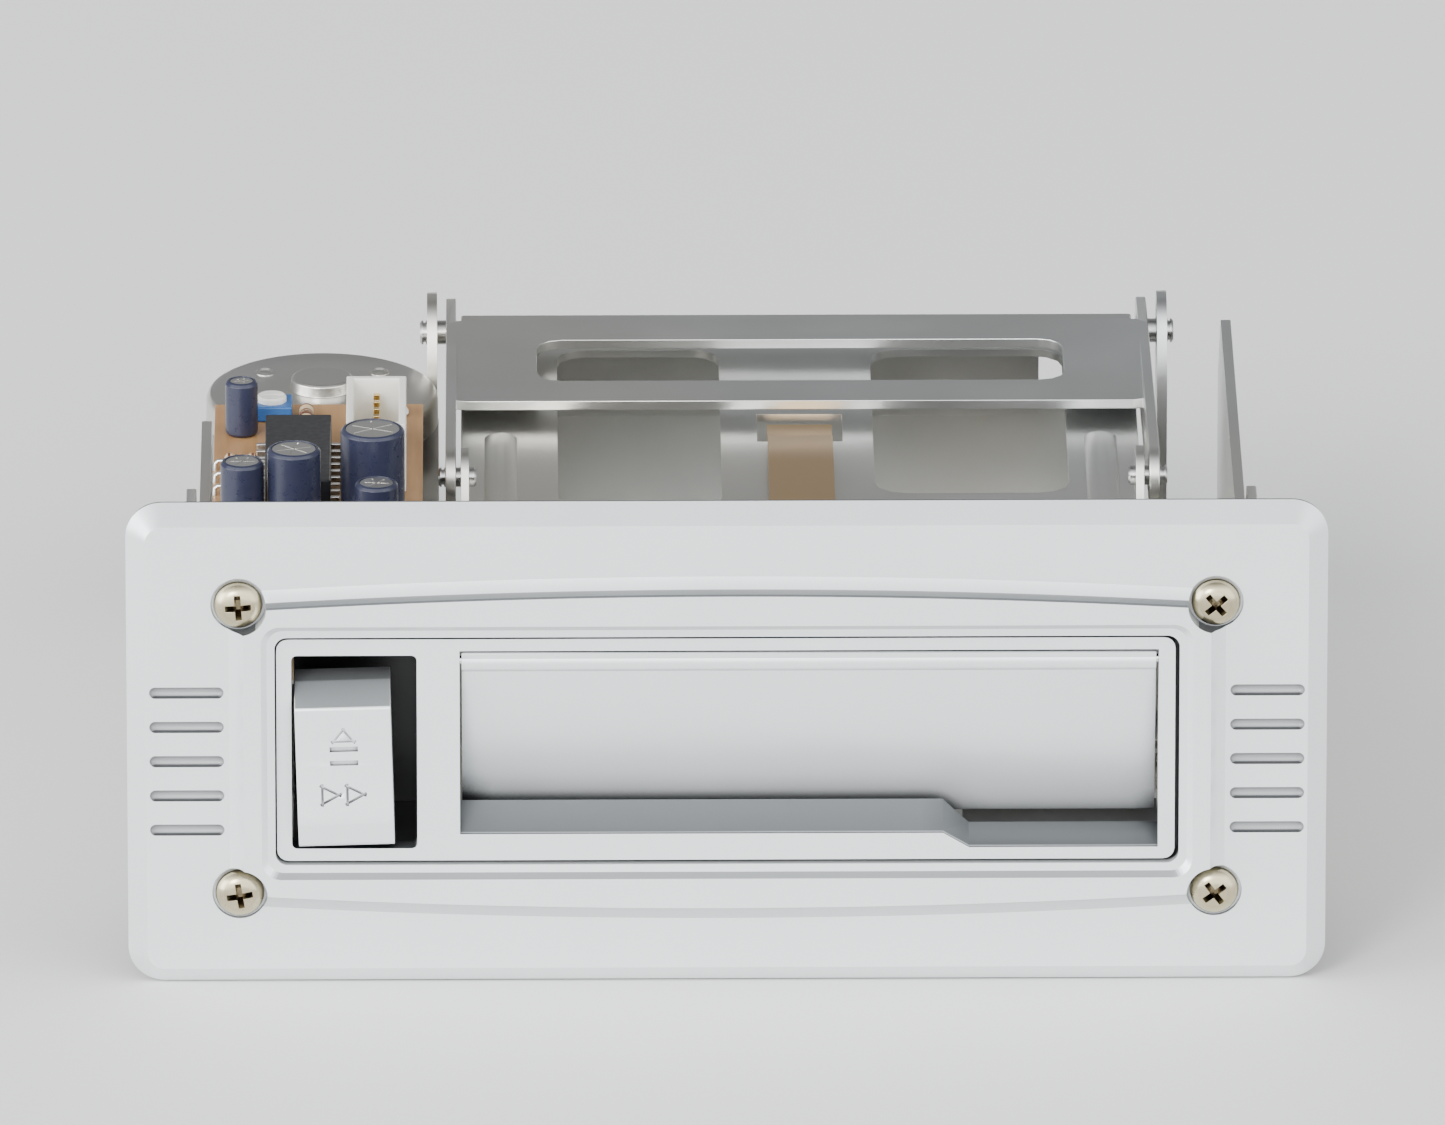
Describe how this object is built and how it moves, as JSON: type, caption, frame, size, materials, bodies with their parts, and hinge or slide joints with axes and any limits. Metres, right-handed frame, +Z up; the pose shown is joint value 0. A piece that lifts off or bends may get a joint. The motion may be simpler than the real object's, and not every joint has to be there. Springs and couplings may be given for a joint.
{
  "type": "cassette deck",
  "caption": "Slot-in compact cassette deck module for panel mounting: silver bezel with hinged door and eject button, and the motor-driven tape mechanism behind it.",
  "frame": {"origin": "centre of the cabinet panel cut-out, on the plane where the back of the bezel meets the panel's outer face", "axes": "+X to the right seen from in front, +Y into the cabinet, +Z up"},
  "size_m": [0.115, 0.1156, 0.0488],
  "materials": {
    "silver_bezel": "silver-painted ABS, satin",
    "silver_door": "silver-painted ABS, satin",
    "silver_button": "silver-painted ABS, satin",
    "zinc_steel": "zinc-plated stamped sheet",
    "steel_fastener": "nickel-plated",
    "spring_steel": "drawn wire",
    "spring_bronze": "rolled strip",
    "motor_steel": "drawn can",
    "polished_steel": "ground and polished",
    "flywheel_metal": "turned",
    "brass": "turned",
    "rubber": "matt black",
    "white_nylon": "moulded acetal",
    "black_plastic": "moulded",
    "phenolic_board": "paper-phenolic circuit board"
  },
  "bodies": {
    "deck": {"front_bezel": "silver_bezel", "slot_frame": "silver_bezel", "bezel_screw_top_left": "steel_fastener", "bezel_screw_top_right": "steel_fastener", "bezel_screw_bottom_left": "steel_fastener", "bezel_screw_bottom_right": "steel_fastener", "door_hinge_pin": "steel_fastener", "door_spring": "spring_steel", "chassis_plate": "zinc_steel", "bracket_left": "zinc_steel", "bracket_right": "zinc_steel", "bracket_screw_left_front": "steel_fastener", "bracket_screw_left_rear": "steel_fastener", "bracket_screw_right_front": "steel_fastener", "bracket_screw_right_rear": "steel_fastener", "lift_pivot_pin_left": "steel_fastener", "lift_pivot_pin_right": "steel_fastener", "motor_can": "motor_steel", "motor_screw_left": "steel_fastener", "motor_screw_right": "steel_fastener", "capstan_bearing": "brass", "flywheel_bracket": "zinc_steel", "drive_belt": "rubber", "reel_drive_bearing": "brass", "supply_reel_post": "steel_fastener", "take_up_reel_post": "steel_fastener", "eject_spring": "spring_steel", "pinch_spring": "spring_steel", "circuit_board": "phenolic_board", "board_pillar_front": "white_nylon", "board_pillar_rear": "white_nylon", "board_pillar_inner": "white_nylon", "preamp_chip": "black_plastic", "board_socket": "white_nylon", "motor_switch": "black_plastic", "switch_leaf": "spring_bronze"},
    "door": {"cassette_door": "silver_door"},
    "eject": {"eject_button": "silver_button", "eject_slide": "zinc_steel"},
    "lift": {"lift_arm": "zinc_steel"},
    "holder": {"cassette_holder": "zinc_steel", "cassette_press_spring": "spring_bronze", "holder_pin_left": "steel_fastener", "holder_pin_right": "steel_fastener"},
    "head": {"head_plate": "zinc_steel", "head_bracket": "brass", "tape_head": "polished_steel", "head_screw_front": "steel_fastener", "head_screw_rear": "steel_fastener"},
    "pinch": {"pinch_arm": "zinc_steel"},
    "roller": {"pinch_roller": "rubber"},
    "capstan": {"flywheel": "flywheel_metal", "capstan_shaft": "polished_steel"},
    "motor_rotor": {"motor_shaft": "polished_steel", "motor_pulley": "brass"},
    "reel_drive": {"reel_drive_pulley": "white_nylon", "reel_drive_pinion": "white_nylon"},
    "take_up": {"take_up_reel": "white_nylon", "take_up_gear": "white_nylon"},
    "supply": {"supply_reel": "white_nylon"}
  },
  "joints": [
    {"name": "door_hinge", "type": "hinge", "parent": "deck", "child": "door", "pos_m": [0.008, -0.0015, 0.0087], "axis": [1, 0, 0], "range_deg": [0, 75], "stiffness_Nm_per_rad": 0.001, "springref_deg": -17.19, "deforming": ["door_spring"]},
    {"name": "eject_press", "type": "slide", "parent": "deck", "child": "eject", "axis": [0, 1, 0], "range_m": [0, 0.008], "stiffness_N_per_m": 150, "springref_m": -0.004, "deforming": ["eject_spring"]},
    {"name": "lift_hinge", "type": "hinge", "parent": "deck", "child": "lift", "pos_m": [0.008, 0.107, 0.0035], "axis": [1, 0, 0], "range_deg": [0, 9.36]},
    {"name": "holder_level", "type": "hinge", "parent": "lift", "child": "holder", "pos_m": [0.008, 0.052, 0.008], "axis": [1, 0, 0], "range_deg": [-9.36, 0]},
    {"name": "head_slide", "type": "slide", "parent": "deck", "child": "head", "axis": [-1, 0, 0], "range_m": [0, 0.0056]},
    {"name": "pinch_swing", "type": "hinge", "parent": "deck", "child": "pinch", "pos_m": [0.03885, 0.0975, -0.0175], "axis": [0, 0, -1], "range_deg": [0, 39.31], "deforming": ["pinch_spring"]},
    {"name": "pinch_roller_spin", "type": "hinge", "parent": "pinch", "child": "roller", "pos_m": [0.04485, 0.0807, -0.0107], "axis": [0, 0, 1], "continuous": true},
    {"name": "flywheel_spin", "type": "hinge", "parent": "deck", "child": "capstan", "pos_m": [0.02685, 0.0807, -0.0213], "axis": [0, 0, 1], "continuous": true},
    {"name": "motor_spin", "type": "hinge", "parent": "deck", "child": "motor_rotor", "pos_m": [-0.0393, 0.095, -0.0213], "axis": [0, 0, 1], "continuous": true},
    {"name": "reel_drive_spin", "type": "hinge", "parent": "deck", "child": "reel_drive", "pos_m": [-0.00895, 0.07645, -0.0213], "axis": [0, 0, 1], "continuous": true},
    {"name": "take_up_spin", "type": "hinge", "parent": "deck", "child": "take_up", "pos_m": [0.00565, 0.07645, -0.017], "axis": [0, 0, 1], "continuous": true},
    {"name": "supply_spin", "type": "hinge", "parent": "deck", "child": "supply", "pos_m": [0.00565, 0.03395, -0.017], "axis": [0, 0, 1], "continuous": true}
  ],
  "couplings": [
    {"joint": "holder_level", "follows": "lift_hinge", "ratio": -1},
    {"joint": "head_slide", "follows": "lift_hinge", "m_per_rad": 0.034293},
    {"joint": "pinch_swing", "follows": "lift_hinge", "ratio": 4.201},
    {"joint": "motor_spin", "follows": "flywheel_spin", "ratio": 4.7363},
    {"joint": "reel_drive_spin", "follows": "flywheel_spin", "ratio": 1.8658},
    {"joint": "take_up_spin", "follows": "flywheel_spin", "ratio": -0.59366}
  ]
}
